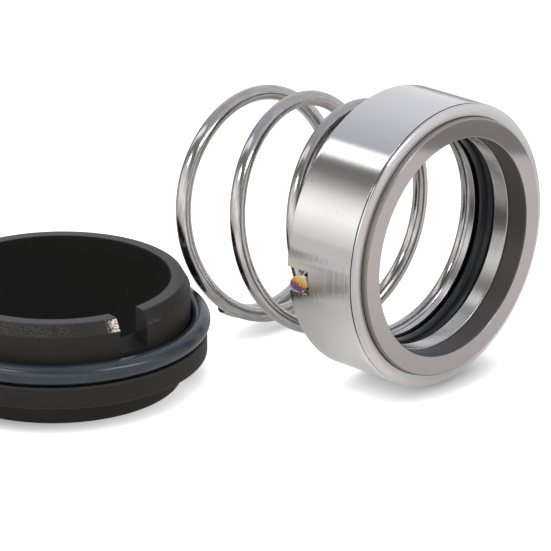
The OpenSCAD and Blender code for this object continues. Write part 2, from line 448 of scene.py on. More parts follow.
class Finish(NodeMaker):
    """The node tree of one material, which ends in a Principled shader."""

    def __init__(self, name):
        self.material = bpy.data.materials.new(name)
        self.material.use_nodes = True
        super().__init__(self.material.node_tree)
        self.tree.nodes.clear()

    def piece_place(self, centre=UNMOVED, turned=UNMOVED):
        """Object coordinates centred on a piece, with Z along its axis."""
        place = self.node("ShaderNodeTexCoord", output="Object")
        return self.node(
            "ShaderNodeMapping",
            {"vector_type": "TEXTURE"},
            {"Vector": place, "Location": centre, "Rotation": turned},
        )

    def lathe(self, pitch, centre=UNMOVED, turned=UNMOVED):
        """A turned piece: its place, X, Y, the place along its axis, its radius and tool marks.

        The marks are fine rings of a pitch, a little uneven round the piece. On the head's
        pieces X points down and Y points along the world's Y.
        """
        place = self.piece_place(centre, turned)
        x, y, along = self.parts(place)
        radius = (x * x + y * y).root()
        drift = 0.02
        ring_place = self.vector(along + x * drift, radius + y * drift, 0.0)
        marks = self.noise(ring_place, 1.0 / pitch, detail=3.0, roughness=0.6)
        return place, x, y, along, radius, marks

    def surface(self, **sockets):
        """Ends the tree. Sockets are named in lower case, with _ for a space."""
        names = {name.replace("_", " ").title(): value for name, value in sockets.items()}
        names = {name.replace("Ior", "IOR"): value for name, value in names.items()}
        shader = self.node("ShaderNodeBsdfPrincipled", inputs=names)
        self.node("ShaderNodeOutputMaterial", inputs={"Surface": shader})
        return self.material


def carrier_steel(colours, sizes):
    """Fine-turned steel with a lower rim brightened by painted light and a dull, patchy web."""
    finish = Finish("carrier_steel")
    place, down, across, along, radius, marks = finish.lathe(0.00022, HEAD_CENTRE, HEAD_TURN)
    broad = finish.noise(finish.vector(along * 3.0, down, across), 45.0, detail=3.0)
    cloud = finish.noise(place, 60.0)
    pits = finish.noise(place, 700.0, detail=1.0).rise(0.75, 0.79)
    patches = finish.noise(finish.vector(along * 0.3, down, across), 110.0, detail=1.0)

    # Dark lines: dirt in the joint round the face ring, and painted shade in the groove behind
    # the rim, which is painted lighter on the lower side
    joint = radius.near(FACE_R, 0.00006, 0.00012) * along.rise(-0.0012, -0.0006)
    groove = along.near(-sizes.rim_h, 0.00004, 0.00007)
    groove = groove * radius.rise(CARRIER_R - 0.0006, CARRIER_R - 0.0004)
    dirt_and_shade = joint.most(groove * (1.0 - down.rise(0.008, 0.018) * 0.85)).least(1.0)

    # The rim's flat front, its lower part brightened by painted light, the web, and painted shade in
    # the hollow behind it
    front = along.rise(-0.0006, -0.0001) * radius.over(FACE_R)
    painted_light_low_rim = along.rise(-0.003, -0.002) * radius.rise(FACE_R + 0.0008, FACE_R + 0.002)
    painted_light_low_rim = painted_light_low_rim * down.rise(0.008, 0.022)
    web = radius.rise(CHAMBER_R - 0.002, CHAMBER_R - 0.003)
    web_patches = web * (0.25 + patches.rise(0.38, 0.58) * 0.45)
    # Painted shade in the hollow behind the web
    painted_chamber_shade = radius.rise(CHAMBER_R + 0.0001, CHAMBER_R - 0.0003) * along.rise(-0.0098, -0.0106)

    colour = finish.coated(
        colours.steel,
        (cloud.rise(0.35, 0.75) * 0.35, (0.55, 0.53, 0.49)),
        # Painted light on the lower rim
        (painted_light_low_rim, (0.76, 0.71, 0.69)),
        (web_patches, (0.30, 0.29, 0.275)),
        (pits * 0.35, (0.25, 0.24, 0.23)),
        # Painted shade behind the web
        (painted_chamber_shade * 0.6, (0.20, 0.19, 0.19)),
        # Dirt in the joint and painted shade in the groove
        (dirt_and_shade * 0.92, (0.02, 0.018, 0.016)),
    )
    rough = 0.09 + broad * 0.03 + dirt_and_shade * 0.4 + front * 0.25 + web * 0.12
    normal = finish.bump(marks, 0.9, 0.00002)
    return finish.surface(base_color=colour, metallic=1.0, roughness=rough, normal=normal)


def face_carbide(colours):
    """Carbide with dull ground sides and a lapped face that mirrors the table."""
    finish = Finish("face_carbide")
    place, _, _, along, radius, marks = finish.lathe(0.00025, FACE_CENTRE, HEAD_TURN)
    cloud = finish.noise(place, 70.0, detail=3.0)
    grain = finish.noise(place, 5200.0)
    lapped = along.rise(-0.00006, -0.00002)
    side = radius.rise(FACE_R - 0.0004, FACE_R - 0.0001)

    ground = finish.blend(side, colours.carbide, (0.33, 0.30, 0.27))
    ground = finish.blend(marks.rise(0.35, 0.7) * 0.5, ground, finish.scaled(ground, 0.55))
    mirror = finish.blend(cloud.rise(0.3, 0.8) * 0.25, colours.lapped, (0.40, 0.36, 0.345))
    colour = finish.blend(lapped, ground, mirror)
    rough = 0.05 + grain * 0.04 + (1.0 - lapped) * 0.36
    metallic = lapped.most(side)
    normal = finish.bump(marks, 0.03 + (1.0 - lapped) * 0.3, 0.00002)
    return finish.surface(base_color=colour, metallic=metallic, roughness=rough, normal=normal)


def rubber(name, colours, placed, roughness, gloss):
    """Smooth moulded rubber whose colour drifts at random between its own and a lighter painted
    sheen.
    """
    finish = Finish(name)
    place = finish.piece_place(*placed)
    cloud = finish.noise(place, 90.0, detail=3.0)
    grain = finish.noise(place, 2600.0)
    # Painted sheen in random patches
    tone = finish.blend(cloud.rise(0.35, 0.75) * 0.6, *colours)
    rough = roughness + cloud * 0.12
    normal = finish.bump(grain, 0.06, 0.00004)
    return finish.surface(
        base_color=tone, metallic=0.0, roughness=rough, normal=normal, specular_ior_level=gloss
    )


def thrust_steel(colours):
    """Plain pressed steel with fine turning marks."""
    finish = Finish("thrust_steel")
    place, _, _, _, _, marks = finish.lathe(0.0003, HEAD_CENTRE, HEAD_TURN)
    cloud = finish.noise(place, 80.0)
    colour = finish.blend(cloud.rise(0.35, 0.7) * 0.4, colours.thrust, (0.38, 0.365, 0.35))
    normal = finish.bump(marks, 0.15, 0.00002)
    return finish.surface(base_color=colour, metallic=1.0, roughness=0.25, normal=normal)


def spring_wire(colours, spring, notch_angle):
    """Bright drawn wire with lengthwise die marks, and heat colours on the tang's cut end."""
    finish = Finish("spring_wire")
    wire_place = finish.node(
        "ShaderNodeAttribute", {"attribute_name": "wire_place"}, output="Vector"
    )
    side, up, run = finish.parts(wire_place)
    streaks = finish.noise(finish.vector(side, up, run * 0.06), 9.0, detail=3.0, roughness=0.6)
    scratches = finish.noise(finish.vector(side, up, run * 3.0), 24.0)
    cut_end = finish.node("ShaderNodeAttribute", {"attribute_name": "cut_end"}, output="Fac")
    cut = cut_end.rise(0.90, 0.99)
    heated = cut_end.rise(-0.5, 0.9)

    # The heat colours run across the cut end at a slant.
    tang = notch_angle + spring.tang_shift
    down, across, along = finish.parts(finish.piece_place(HEAD_CENTRE, HEAD_TURN))
    outward = across * cos(tang) - down * sin(tang)
    sideways = across * sin(tang) + down * cos(tang)
    grain = finish.noise(finish.vector(along * 6.0, sideways, outward), 1400.0)
    middle = CARRIER_HIGH.x - (THRUST_LOW.x - spring.wire_d / 2)
    slant = (along + middle - spring.tang_lean) * 0.7 + sideways * 0.7 + (grain - 0.5) * 0.003
    tints = finish.node(
        "ShaderNodeValToRGB",
        {
            "stops": (
                (0.0, (0.12, 0.15, 0.27)),
                (0.16, (0.07, 0.06, 0.20)),
                (0.28, (0.18, 0.05, 0.14)),
                (0.38, (0.36, 0.10, 0.05)),
                (0.54, (0.54, 0.27, 0.08)),
                (0.80, (0.58, 0.42, 0.12)),
                (1.0, (0.64, 0.52, 0.31)),
            )
        },
        {0: slant / (spring.wire_d * 0.9) + 0.58},
    )

    # Painted shade: the wire is a little darker on the spring's upper side.
    dark_wire = tuple(channel * 0.5 for channel in colours.wire)
    colour = finish.coated(
        colours.wire,
        (streaks.rise(0.3, 0.7) * 0.7, dark_wire),
        (scratches.rise(0.62, 0.7) * 0.3, (0.22, 0.21, 0.20)),
    )
    # Painted shade on the upper side
    colour = finish.scaled(colour, 1.0 - down.rise(-0.008, -0.028) * 0.22)
    colour = finish.coated(colour, (heated * 0.5, (0.45, 0.30, 0.16)), (cut, tints))
    rough = 0.09 + streaks * 0.14 + cut * 0.2
    normal = finish.bump(streaks, 0.3, 0.00005)
    normal = finish.bump(grain * cut, 0.5, 0.00008, normal)
    return finish.surface(base_color=colour, metallic=1.0, roughness=rough, normal=normal)


def seat_carbide(colours, seat):
    """Charcoal-brown carbide with a lighter ground top and a scuffed corner at the slot."""
    finish = Finish("seat_carbide")
    place, x, y, along, radius, marks = finish.lathe(0.0004)
    cloud = finish.noise(place, 55.0, detail=4.0, roughness=0.6)
    grain = finish.noise(place, 3200.0, detail=3.0, roughness=0.7)
    grit = finish.noise(place, 1300.0)
    specks = finish.noise(place, 2300.0)
    wear = finish.noise(place, 2900.0, detail=4.0)

    # The seat's own surfaces, and where the slot is
    flange_top = seat.nose_h + seat.flange_h
    lead_foot = SEAT_H - seat.lead_h - 0.0001
    top = along.rise(SEAT_H - 0.00035, SEAT_H - 0.00005)
    lead = along.rise(lead_foot, lead_foot + 0.0002)
    bore = radius.rise(SEAT_BORE_R + 0.0004, SEAT_BORE_R + 0.0001)
    # Painted highlight: a lighter line along the flange's top edge
    rim = radius.near(FLANGE_R, 0.0003, 0.0003) * along.near(flange_top, 0.0003, 0.0003)
    # Painted shade: the seat is darker below the flange's top
    low = along.rise(flange_top + 0.0002, flange_top)
    outward = x * cos(seat.slot_angle) + y * sin(seat.slot_angle)
    side = y * cos(seat.slot_angle) - x * sin(seat.slot_angle)
    slot_side = outward.over(0.0)
    slot_half = seat.slot_w / 2
    floor = SEAT_H - seat.slot_depth - seat.slot_fall - 0.0001
    in_slot = slot_side * side.near(0.0, slot_half - 0.0001, 0.0001) * along.over(floor)

    # Wear: the scuffed corner left of the slot, the worn chamfer beyond it, and the reddish
    # graze right of it
    corner = slot_side * side.rise(-slot_half - 0.0034, -slot_half - 0.0010)
    corner = corner * side.rise(0.0, -slot_half) * lead * (1.0 - top)
    scuffs = (specks + corner * 0.16).rise(0.56, 0.66) * corner
    worn_edge = along.near(SEAT_H - seat.lead_h * 0.55, 0.0009, 0.0006) * side.rise(-0.012, -0.016)
    worn_edge = worn_edge * wear.rise(0.49, 0.68)
    graze = along.near(lead_foot, 0.00015, 0.00035) * grit.rise(0.35, 0.6)
    graze = graze * side.near(slot_half + 0.0022, 0.0018, 0.0012) * side.over(slot_half + 0.0002)
    graze = graze * slot_side * (1.0 - bore)

    colour = finish.coated(
        colours.seat,
        (cloud.rise(0.35, 0.7) * 0.6, (0.026, 0.023, 0.016)),
        (lead * 0.5, (0.022, 0.023, 0.017)),
        # Painted shade below the flange's top
        (low * 0.6, (0.014, 0.013, 0.011)),
        (top, colours.seat_top),
        (grain.rise(0.62, 0.75) * 0.25, (0.07, 0.065, 0.06)),
        # Painted shade: the bore and the slot's floor are near black
        (bore.most(in_slot * 0.7) * 0.85, (0.004, 0.004, 0.004)),
        # Painted highlight along the flange's top edge
        (rim * 0.4, (0.06, 0.055, 0.045)),
        (worn_edge * 0.45, (0.16, 0.13, 0.09)),
        (graze * 0.6, (0.13, 0.06, 0.05)),
        (scuffs, (0.75, 0.62, 0.58)),
    )
    rough = 0.42 + grit * 0.18 - top * 0.06 + bore * 0.15
    normal = finish.bump(marks, 0.25, 0.00003)
    normal = finish.bump(grain, 0.25, 0.00003, normal)
    return finish.surface(
        base_color=colour, metallic=0.0, roughness=rough, normal=normal, specular_ior_level=0.22
    )


def geometry_tree(name, inputs):
    """An empty Geometry Nodes group with named inputs of the kinds that the values have.

    Gives the group, its maker, the geometry that comes in and the inputs as numbers.
    """
    tree = bpy.data.node_groups.new(name, "GeometryNodeTree")
    tree.interface.new_socket("Geometry", in_out="INPUT", socket_type="NodeSocketGeometry")
    kinds = {float: "NodeSocketFloat", int: "NodeSocketInt"}
    for label, value in inputs.items():
        kind = kinds.get(type(value), "NodeSocketMaterial")
        tree.interface.new_socket(label, in_out="INPUT", socket_type=kind)
    tree.interface.new_socket("Geometry", in_out="OUTPUT", socket_type="NodeSocketGeometry")
    maker = NodeMaker(tree)
    geometry = maker.node("NodeGroupInput")
    given = [maker.other_output(geometry, place + 1) for place in range(len(inputs))]
    return tree, maker, geometry, given


def end_tree(maker, geometry, material):
    """Closes a group with Realize Instances and Set Material."""
    real = maker.node("GeometryNodeRealizeInstances", inputs={"Geometry": geometry})
    dressed = maker.node("GeometryNodeSetMaterial", inputs={"Geometry": real, "Material": material})
    maker.node("NodeGroupOutput", inputs=[dressed])


def stored(maker, geometry, name, kind, value):
    """Keeps a value on each point of a geometry, under a name."""
    return maker.node(
        "GeometryNodeStoreNamedAttribute",
        {"data_type": kind, "domain": "POINT"},
        {"Geometry": geometry, "Name": name, "Value": value},
    )


def recalled(maker, name, kind):
    """A value that was kept on each point under a name."""
    return maker.node("GeometryNodeInputNamedAttribute", {"data_type": kind}, {"Name": name})


def circle(maker, points, radius):
    """A round curve in the XY plane."""
    return maker.node(
        "GeometryNodeCurvePrimitiveCircle",
        {"mode": "RADIUS"},
        {"Resolution": points, "Radius": radius},
    )


def turned_tree(inputs):
    """A group that turns an outline, drawn as (radius, along), once round the Z axis."""
    tree, maker, outline, (middle, segments, material) = geometry_tree("turned_piece", inputs)
    radius, along, _ = maker.parts(maker.node("GeometryNodeInputPosition"))
    flat = maker.node(
        "GeometryNodeSetPosition",
        inputs={"Geometry": outline, "Position": maker.vector(radius - middle, -along, 0.0)},
    )
    profile = maker.node("GeometryNodeMeshToCurve", inputs={"Mesh": flat})
    path = circle(maker, segments, middle)
    solid = maker.node("GeometryNodeCurveToMesh", inputs={"Curve": path, "Profile Curve": profile})
    end_tree(maker, solid, material)
    return tree


def soft_ramp(value, half):
    """0 below 0, the value itself above 0, and a soft bend of a half width between."""
    bend = (value + half).most(0.0).least(2.0 * half)
    return bend * bend / (4.0 * half) + (value - half).most(0.0)


def coil_tree(inputs):
    """A group that winds the spring: flat end turns, open turns, the sag and the bent tang."""
    tree, maker, _, given = geometry_tree("coil_spring", inputs)
    coil_r, wire_r, turns, rear_flat, front_flat, rear, front, lead = given[:8]
    tip, tang, bend, tang_end, lean, flare, slant, grip = given[8:16]
    sag, sag_bend, coil_n, bend_n, sides, material = given[16:]
    index = maker.node("GeometryNodeInputIndex")

    # The coil: how far each point has turned, and its place along the axis
    turned = turns * (index / coil_n).least(1.0)
    open_turns = (turned - rear_flat) / (turns - rear_flat - front_flat)
    share = soft_ramp(open_turns, lead) - soft_ramp(open_turns - 1.0, lead)
    place = rear + (front - rear) * share
    angle = tip + turned * (2.0 * pi)

    # The sag: the coil droops more the further it is from the thrust ring
    behind = front - wire_r - place
    drooped = behind.most(0.0).least(2.0 * sag_bend)
    drop = drooped * drooped / (4.0 * sag_bend) + (behind - 2.0 * sag_bend).most(0.0)
    tilt = sag * (behind / (2.0 * sag_bend)).most(0.0).least(1.0)
    here_r = coil_r - grip * (front - place) / (front - rear)
    rise = here_r * angle.sine()
    height = rise * tilt.cosine() - drop * sag.tangent()
    coil = maker.vector(place - rise * tilt.sine(), here_r * angle.cosine(), height)

    # The tang: a bend outward at the front, then a straight run that ends in two short steps
    span = (bend / (coil_r + bend)).arc_sine()
    start = tang - span
    bent = ((index - coil_n) / bend_n).most(0.0).least(1.0)
    swing = start + pi - (0.5 * pi - span) * bent
    bend_y = (coil_r + bend) * start.cosine() + bend * swing.cosine()
    bend_z = (coil_r + bend) * start.sine() + bend * swing.sine()
    past_bend = (index - coil_n - bend_n).most(0.0)
    at_end = (past_bend - 1.0).most(0.0)
    last = past_bend.least(1.0) * 0.9 + at_end * 0.1
    tang_y = bend_y + (tang_end * tang.cosine() - bend_y) * last
    tang_z = bend_z + (tang_end * tang.sine() - bend_z) * last
    bent_wire = maker.vector(front + lean * last, tang_y, tang_z)
    inputs = {0: index.over(coil_n + 0.5), 4: coil, 5: bent_wire}
    path = maker.node("ShaderNodeMix", {"data_type": "VECTOR"}, inputs, 1)

    # The round wire along that path, with the place on the wire kept for its finish
    line = maker.node("GeometryNodeMeshLine", inputs={"Count": coil_n + bend_n + 3.0})
    curve = maker.node("GeometryNodeMeshToCurve", inputs={"Mesh": line})
    curve = maker.node("GeometryNodeSetPosition", inputs={"Geometry": curve, "Position": path})
    run = maker.node("GeometryNodeSplineParameter", output=1)
    curve = stored(maker, curve, "run", "FLOAT", run)
    curve = stored(maker, curve, "cut_end", "FLOAT", past_bend - 1.0)
    ring_place = maker.node("GeometryNodeInputPosition")
    ring = stored(maker, circle(maker, sides, wire_r), "around", "FLOAT_VECTOR", ring_place)
    spread = 1.0 + flare * at_end
    inputs = {"Curve": curve, "Profile Curve": ring, "Scale": spread, "Fill Caps": True}
    wire = maker.node("GeometryNodeCurveToMesh", inputs=inputs)
    side, up, _ = maker.parts(recalled(maker, "around", "FLOAT_VECTOR"))
    run = recalled(maker, "run", "FLOAT")
    wire_place = maker.vector(side / wire_r, up / wire_r, run / wire_r)
    wire = stored(maker, wire, "wire_place", "FLOAT_VECTOR", wire_place)

    # The sheared end slants inward toward the front.
    x, _, _ = maker.parts(maker.node("GeometryNodeInputPosition"))
    back = (x - front - lean + wire_r * 0.5) * slant.tangent() * -1.0
    wire = maker.node(
        "GeometryNodeSetPosition",
        inputs={
            "Geometry": wire,
            "Selection": recalled(maker, "cut_end", "FLOAT").over(0.5),
            "Offset": maker.vector(0.0, back * tang.cosine(), back * tang.sine()),
        },
    )
    end_tree(maker, wire, material)
    return tree


def new_object(name, data):
    """Puts a mesh, a lamp or a camera in the scene."""
    made = bpy.data.objects.new(name, data)
    bpy.context.scene.collection.objects.link(made)
    return made


def set_inputs(modifier, values):
    """Sets a Geometry Nodes modifier's inputs, by their names in the group."""
    for item in modifier.node_group.interface.items_tree:
        if item.in_out == "INPUT" and item.name in values:
            modifier[item.identifier] = values[item.name]


def baked(made):
    """Replaces an object's mesh with what its modifiers make of it, and removes them."""
    graph = bpy.context.evaluated_depsgraph_get()
    mesh = bpy.data.meshes.new_from_object(made.evaluated_get(graph))
    made.modifiers.clear()
    made.data = mesh
    mesh.name = made.name
    return made


def clean_normals(mesh, sharp_angle):
    """Points all faces outwards, and shades smooth except at edges sharper than an angle."""
    shape = bmesh.new()
    shape.from_mesh(mesh)
    bmesh.ops.remove_doubles(shape, verts=shape.verts, dist=1e-7)
    bmesh.ops.recalc_face_normals(shape, faces=shape.faces)
    for face in shape.faces:
        face.smooth = True
    for edge in shape.edges:
        edge.smooth = edge.calc_face_angle(0.0) < sharp_angle
    shape.to_mesh(mesh)
    shape.free()


def rounded(corners, edge_break, hold=2.5, steps=3):
    """Closed outline whose corners are eased by an arc.

    A corner is (radius, along), with a third number where it has its own rounding, which is 0
    where it stays sharp. Extra points beside each arc hold the flats flat.
    """
    outline = []
    count = len(corners)
    for i, corner in enumerate(corners):
        here = Vector(corner[:2])
        ease = corner[2] if len(corner) > 2 else edge_break
        back = Vector(corners[i - 1][:2]) - here
        on = Vector(corners[(i + 1) % count][:2]) - here
        half = back.angle(on) / 2
        if ease <= 0 or half > radians(80):
            outline.append(here)
            continue
        reach = min(ease / tan(half), back.length * 0.4, on.length * 0.4)
        arc_r = reach * tan(half)
        centre = here + (back.normalized() + on.normalized()).normalized() * (arc_r / sin(half))
        first = here + back.normalized() * reach
        final = here + on.normalized() * reach
        if back.length > 2 * hold * reach:
            outline.append(here + back.normalized() * reach * hold)
        for k in range(steps + 1):
            chord = first.lerp(final, k / steps) - centre
            outline.append(centre + chord.normalized() * arc_r)
        if on.length > 2 * hold * reach:
            outline.append(here + on.normalized() * reach * hold)
    return outline


def turned_piece(name, outline, material):
    """A solid of revolution about Z, from a closed outline of (radius, along)."""
    mesh = bpy.data.meshes.new(name)
    count = len(outline)
    mesh.from_pydata(
        [(point[0], point[1], 0.0) for point in outline],
        [(i, (i + 1) % count) for i in range(count)],
        [],
    )
    made = new_object(name, mesh)
    radii = [point[0] for point in outline]
    inputs = {
        "Middle radius": (min(radii) + max(radii)) / 2,
        "Segments": SEGMENTS,
        "Material": material,
    }
    turning = made.modifiers.new("turned", "NODES")
    turning.node_group = bpy.data.node_groups.get("turned_piece") or turned_tree(inputs)
    set_inputs(turning, inputs)
    return baked(made)


def cut_slot(made, outline, width, placed):
    """Cuts a slot of a width, whose outline of (radius, along) stands on the local X axis."""
    shape = bmesh.new()
    sides = []
    for across in (-width / 2, width / 2):
        corners = [shape.verts.new((radius, across, along)) for radius, along in outline]
        sides.append(corners)
        shape.faces.new(corners)
    for k, corner in enumerate(sides[0]):
        shape.faces.new((corner, sides[0][k - 1], sides[1][k - 1], sides[1][k]))
    bmesh.ops.recalc_face_normals(shape, faces=shape.faces)
    shape.transform(placed)
    mesh = bpy.data.meshes.new("cutter")
    shape.to_mesh(mesh)
    shape.free()
    cutter = new_object("cutter", mesh)
    cutting = made.modifiers.new("cut", "BOOLEAN")
    cutting.operation = "DIFFERENCE"
    cutting.solver = "EXACT"
    cutting.object = cutter
    baked(made)
    bpy.data.objects.remove(cutter)


def on_head(made, along_zero):
    """Lays a piece turned about Z on the head's axis, with its zero at a place along X."""
    axes = Matrix(((0, 0, 1, along_zero), (1, 0, 0, HEAD_Y), (0, 1, 0, HEAD_Z), (0, 0, 0, 1)))
    made.data.transform(axes)
    return made


def torus_outline(middle_r, middle_along, thick, steps=48):
    """Round section of an O-ring."""
    turns = [2 * pi * k / steps for k in range(steps)]
    return [(middle_r + thick / 2 * cos(a), middle_along + thick / 2 * sin(a)) for a in turns]


def put_in_place(made, body, node, sharp_angle=30):
    """Ends a piece: clean faces, its body and the CAD node that it stands for."""
    clean_normals(made.data, radians(sharp_angle))
    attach(made, body)
    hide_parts(node)


class SEAL_OT_carrier(Operator):
    """Turns the steel carrier and cuts its drive notch"""

    bl_idname = "seal.carrier"
    bl_label = "Carrier"

    def execute(self, context):
        sizes = context.scene.seal_carrier
        rim_x = CARRIER_HIGH.x
        rear = CARRIER_LOW.x - rim_x
        parting = -sizes.rim_h
        web_front = FACE_LOW.x - rim_x
        web_rear = web_front - sizes.web_thick
        side_r = CARRIER_R - sizes.rim_step
        rim_w = (side_r - FACE_R) * sizes.rim_round
        rim_steps = 14
        arc = [pi / 2 * k / rim_steps for k in range(rim_steps + 1)]
        rim = [(side_r - rim_w * (1 - cos(a)), parting + sizes.rim_h * sin(a), 0) for a in arc]
        groove = sizes.groove
        outline = rounded(
            [
                (WEB_R, web_front, sizes.web_round),
                (WEB_R, web_rear),
                (CHAMBER_R, web_rear),
                (CHAMBER_R, rear),
                (CARRIER_R, rear, sizes.edge_chamfer),
                (CARRIER_R, parting - groove),
                (side_r - groove, parting - groove),
                (side_r - groove, parting, 0),
                *rim,
                (FACE_R + sizes.joint_gap, 0.0),
                (FACE_R + sizes.joint_gap, -sizes.rim_h, 0),
                (FACE_R, -sizes.rim_h, 0),
                (FACE_R, web_front),
            ],
            sizes.edge_break,
        )
        colours = context.scene.seal_colours
        made = turned_piece("carrier_body", outline, carrier_steel(colours, sizes))
        inner, outer = CHAMBER_R - OVER, CARRIER_R + OVER
        floor, open_end = rear + sizes.notch_depth, rear - OVER
        notch = [(inner, open_end), (outer, open_end), (outer, floor), (inner, floor)]
        cut_slot(made, notch, sizes.notch_w, Matrix.Rotation(sizes.notch_angle, 4, "Z"))
        on_head(made, rim_x)
        put_in_place(made, "seal_set", "carrier", 40)
        return {"FINISHED"}


class SEAL_OT_face_ring(Operator):
    """Turns the carbide face ring with its lapped face"""

    bl_idname = "seal.face_ring"
    bl_label = "Face ring"

    def execute(self, context):
        sizes = context.scene.seal_carrier
        bore_r = context.scene.seal_spring.shaft_d / 2 + sizes.face_gap
        back = FACE_LOW.x - FACE_HIGH.x
        chamfer = sizes.face_chamfer
        outline = rounded(
            [
                (bore_r, back),
                (FACE_R, back),
                (FACE_R, -chamfer),
                (FACE_R - chamfer, 0.0),
                (bore_r + chamfer, 0.0),
                (bore_r, -chamfer),
            ],
            sizes.edge_break,
        )
        colours = context.scene.seal_colours
        made = turned_piece("face_ring_body", outline, face_carbide(colours))
        on_head(made, FACE_HIGH.x)
        put_in_place(made, "seal_set", "face_ring")
        return {"FINISHED"}


class SEAL_OT_thrust_ring(Operator):
    """Makes the flat steel ring that the spring seats on"""

    bl_idname = "seal.thrust_ring"
    bl_label = "Thrust ring"

    def execute(self, context):
        outer_r = (THRUST_HIGH.y - THRUST_LOW.y) / 2
        back = THRUST_LOW.x - THRUST_HIGH.x
        corners = [(WEB_R, back), (outer_r, back), (outer_r, 0.0), (WEB_R, 0.0)]
        edge_break = context.scene.seal_carrier.edge_break
        colours = context.scene.seal_colours
        made = turned_piece("thrust_ring_body", rounded(corners, edge_break), thrust_steel(colours))
        on_head(made, THRUST_HIGH.x)
        put_in_place(made, "seal_set", "thrust_ring")
        return {"FINISHED"}


class SEAL_OT_o_rings(Operator):
    """Makes the shaft's and the seat's rubber rings"""

    bl_idname = "seal.o_rings"
    bl_label = "O-rings"

    def execute(self, context):
        colours = context.scene.seal_colours
        thick = SHAFT_RING_HIGH.x - SHAFT_RING_LOW.x
        middle = (SHAFT_RING_HIGH.x + SHAFT_RING_LOW.x) / 2
        black = rubber(
            "shaft_ring_rubber",
            # Its own colour, and a lighter painted sheen
            (colours.shaft_ring, (0.004, 0.007, 0.011)),
            (HEAD_CENTRE, HEAD_TURN),
            roughness=0.28,
            gloss=0.36,
        )
        section = torus_outline(CHAMBER_R - thick / 2, 0.0, thick)
        made = turned_piece("shaft_o_ring_body", section, black)
        on_head(made, middle)
        put_in_place(made, "seal_set", "shaft_o_ring")
        thick = SEAT_RING_HIGH.z - SEAT_RING_LOW.z
        middle = (SEAT_RING_HIGH.z + SEAT_RING_LOW.z) / 2
        blue = rubber(
            "seat_ring_rubber",
            # Its own colour, and a lighter painted sheen
            (colours.seat_ring, (0.032, 0.046, 0.058)),
            (UNMOVED, UNMOVED),
            roughness=0.17,
            gloss=0.5,
        )
        section = torus_outline(SEAT_RING_HIGH.x - thick / 2, middle, thick)
        made = turned_piece("seat_o_ring_body", section, blue)
        put_in_place(made, "seal_set", "seat_o_ring")
        return {"FINISHED"}


class SEAL_OT_coil_spring(Operator):
    """Winds the coil spring, with its sag and its tang bent into the notch"""

    bl_idname = "seal.coil_spring"
    bl_label = "Coil spring"

    def execute(self, context):
        sizes = context.scene.seal_spring
        notch_angle = context.scene.seal_carrier.notch_angle
        wire_r = sizes.wire_d / 2
        coil_r = sizes.shaft_d / 2 + sizes.coil_gap + wire_r
        front = THRUST_LOW.x - wire_r
        rear = THRUST_LOW.x - sizes.spring_len + wire_r
        tang = notch_angle + sizes.tang_shift
        span = atan2(sizes.tang_bend, sqrt((coil_r + sizes.tang_bend) ** 2 - sizes.tang_bend**2))
        turns = sizes.whole_turns - (sizes.tip_angle - tang + span) / (2 * pi)
        arm = front - wire_r - sizes.sag_bend - rear
        outer_r = coil_r - sizes.end_grip + wire_r
        reach = min(1.0, (HEAD_Z - sizes.free_end_lift) / hypot(arm, outer_r))
        sag = max(0.0, atan2(arm, outer_r) - acos(reach))
        material = spring_wire(context.scene.seal_colours, sizes, notch_angle)
        inputs = {
            "Coil radius": coil_r,
            "Wire radius": wire_r,
            "Turns": turns,
            "Rear flat": sizes.rear_flat,
            "Front flat": sizes.front_flat,
            "Rear place": rear,
            "Front place": front,
            "Lead-in": sizes.turn_ease,
            "Tip angle": sizes.tip_angle,
            "Tang angle": tang,
            "Tang bend": sizes.tang_bend,
            "Tang end radius": CARRIER_R - sizes.tang_inset,
            "Tang lean": sizes.tang_lean,
            "Tang flare": sizes.tang_flare,
            "Tang slant": sizes.tang_slant,
            "End grip": sizes.end_grip,
            "Sag angle": sag,
            "Sag bend": sizes.sag_bend,
            "Coil points": ceil(turns * COIL_POINTS),
            "Bend points": BEND_POINTS,
            "Wire sides": WIRE_SIDES,
            "Material": material,
        }
        made = new_object("coil_spring_wire", bpy.data.meshes.new("coil_spring_wire"))
        winding = made.modifiers.new("winding", "NODES")
        winding.node_group = coil_tree(inputs)
        set_inputs(winding, inputs)
        baked(made)
        made.data.transform(Matrix.Translation((0.0, HEAD_Y, HEAD_Z)))
        clean_normals(made.data, radians(40))
        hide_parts("coil_spring")
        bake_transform(made)
        return {"FINISHED"}


class SEAL_OT_seat(Operator):
    """Turns the stationary seat and cuts its slot"""

    bl_idname = "seal.seat"
    bl_label = "Seat"

    def execute(self, context):
        sizes = context.scene.seal_seat
        flange_top = sizes.nose_h + sizes.flange_h
        nose_r = SEAT_BORE_R + sizes.nose_w
        outline = rounded(
            [
                (SEAT_BORE_R, 0.0),
                (nose_r, 0.0),
                (nose_r, sizes.nose_h),
                (FLANGE_R, sizes.nose_h, sizes.flange_chamfer),
                (FLANGE_R, flange_top, sizes.flange_chamfer),
                (sizes.tail_r, flange_top),
                (sizes.tail_r, SEAT_H - sizes.lead_h),
                (sizes.tail_r - sizes.lead_w, SEAT_H),
                (SEAT_BORE_R, SEAT_H),
            ],
            sizes.edge_break,
        )
        made = turned_piece("seat_body", outline, seat_carbide(context.scene.seal_colours, sizes))
        inner, outer = SEAT_BORE_R - OVER, sizes.tail_r + OVER
        floor = SEAT_H - sizes.slot_depth
        fall = sizes.slot_fall * OVER / (sizes.tail_r - SEAT_BORE_R)
        slot = [
            (inner, floor + fall),
            (outer, floor - sizes.slot_fall - fall),
            (outer, SEAT_H + OVER),
            (inner, SEAT_H + OVER),
        ]
        cut_slot(made, slot, sizes.slot_w, Matrix.Rotation(sizes.slot_angle, 4, "Z"))
        put_in_place(made, "seal_set", "seat", 40)
        return {"FINISHED"}


